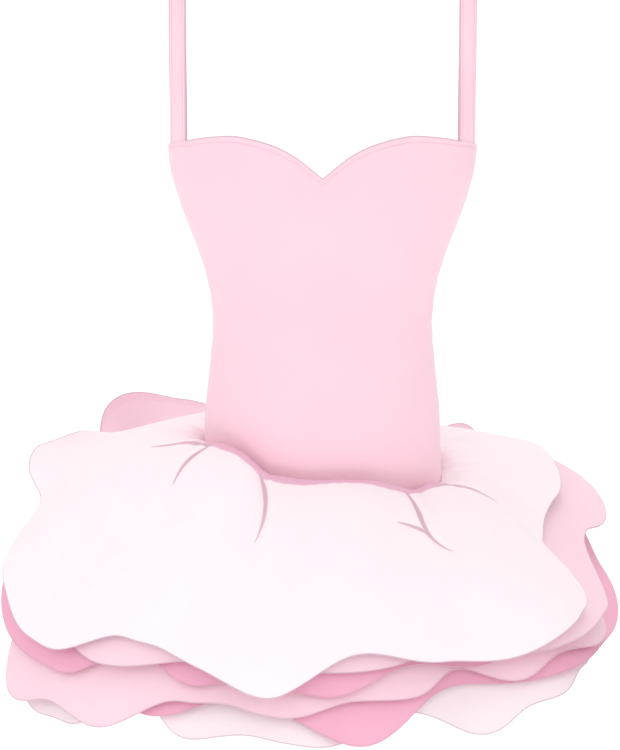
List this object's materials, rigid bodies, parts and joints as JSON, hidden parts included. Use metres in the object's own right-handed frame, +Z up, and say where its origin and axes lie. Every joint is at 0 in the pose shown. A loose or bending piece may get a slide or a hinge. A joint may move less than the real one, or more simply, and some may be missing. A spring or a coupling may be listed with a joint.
{
  "type": "ballet tutu",
  "caption": "Ballet tutu with a long sweetheart bodice on shoulder straps, and a short, full skirt of ruffled net layers. Hollow, in its worn form.",
  "frame": {"origin": "centre of the waist, on the body's axis, level with the narrowest part of the bodice", "axes": "+Z up along the body, -Y the front, +X the wearer's left"},
  "size_m": [0.6528, 0.5807, 0.7722],
  "materials": {
    "pale_pink_satin": "smooth stretch satin, soft sheen",
    "white_net": "fine matt net, white with a blush of pink",
    "light_pink_net": "fine matt net, pale pink",
    "mid_pink_net": "fine matt net, mid pink"
  },
  "bodies": {
    "root": {"bodice_front": "pale_pink_satin", "bodice_back": "pale_pink_satin", "strap_left": "pale_pink_satin", "strap_right": "pale_pink_satin", "hip_band": "pale_pink_satin", "net_1_white": "white_net", "net_2_light": "light_pink_net", "net_3_mid": "mid_pink_net", "net_4_light": "light_pink_net", "net_5_mid": "mid_pink_net", "net_6_white": "white_net"}
  },
  "joints": []
}
